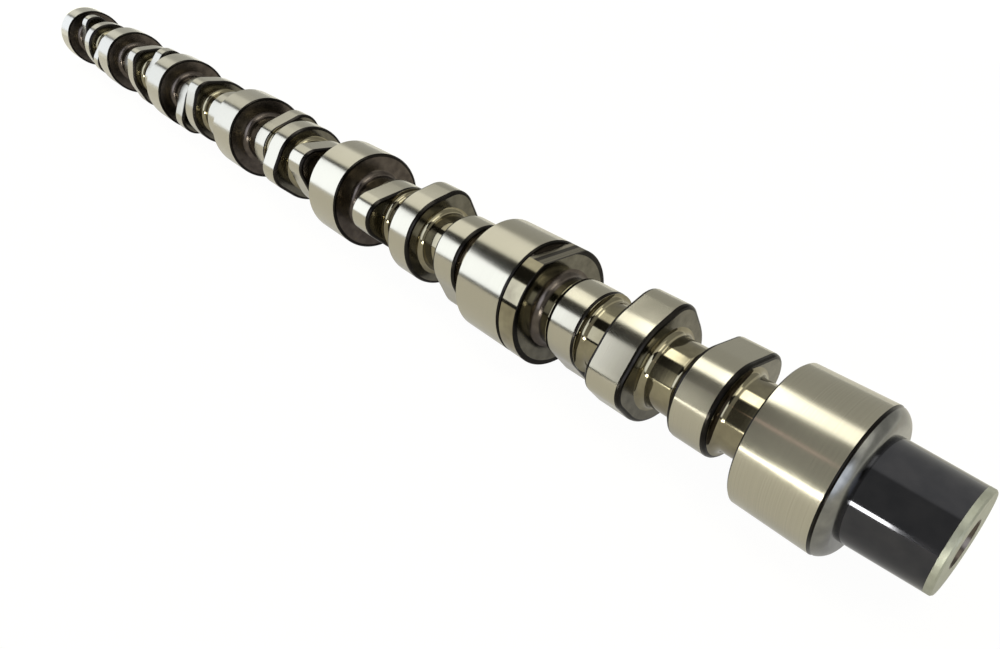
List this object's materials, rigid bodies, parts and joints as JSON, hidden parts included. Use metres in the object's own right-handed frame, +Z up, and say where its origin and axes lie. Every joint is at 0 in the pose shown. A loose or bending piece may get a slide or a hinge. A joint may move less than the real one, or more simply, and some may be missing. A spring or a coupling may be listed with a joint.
{
  "type": "camshaft",
  "caption": "Diesel camshaft with ground journals and cam lobes on a forged core, a tapered drive nose with a tapped hole, and a milled timing flat.",
  "frame": {"origin": "on the shaft's axis, halfway along its length", "axes": "+X along the shaft's axis towards the tapered drive nose, +Z up, near the flat on the timing ring, +Y away from the viewer with the nose to the right"},
  "size_m": [1.0606, 0.064, 0.0638],
  "materials": {
    "ground_steel": "ground, satin sheen",
    "dark_sides": "dark heat-treated skin",
    "forged_core": "turned, with a gold heat tint",
    "black_nose": "black oxide, glossy",
    "nose_end": "bare turned face"
  },
  "bodies": {
    "root": {"camshaft": "ground_steel"}
  },
  "joints": []
}
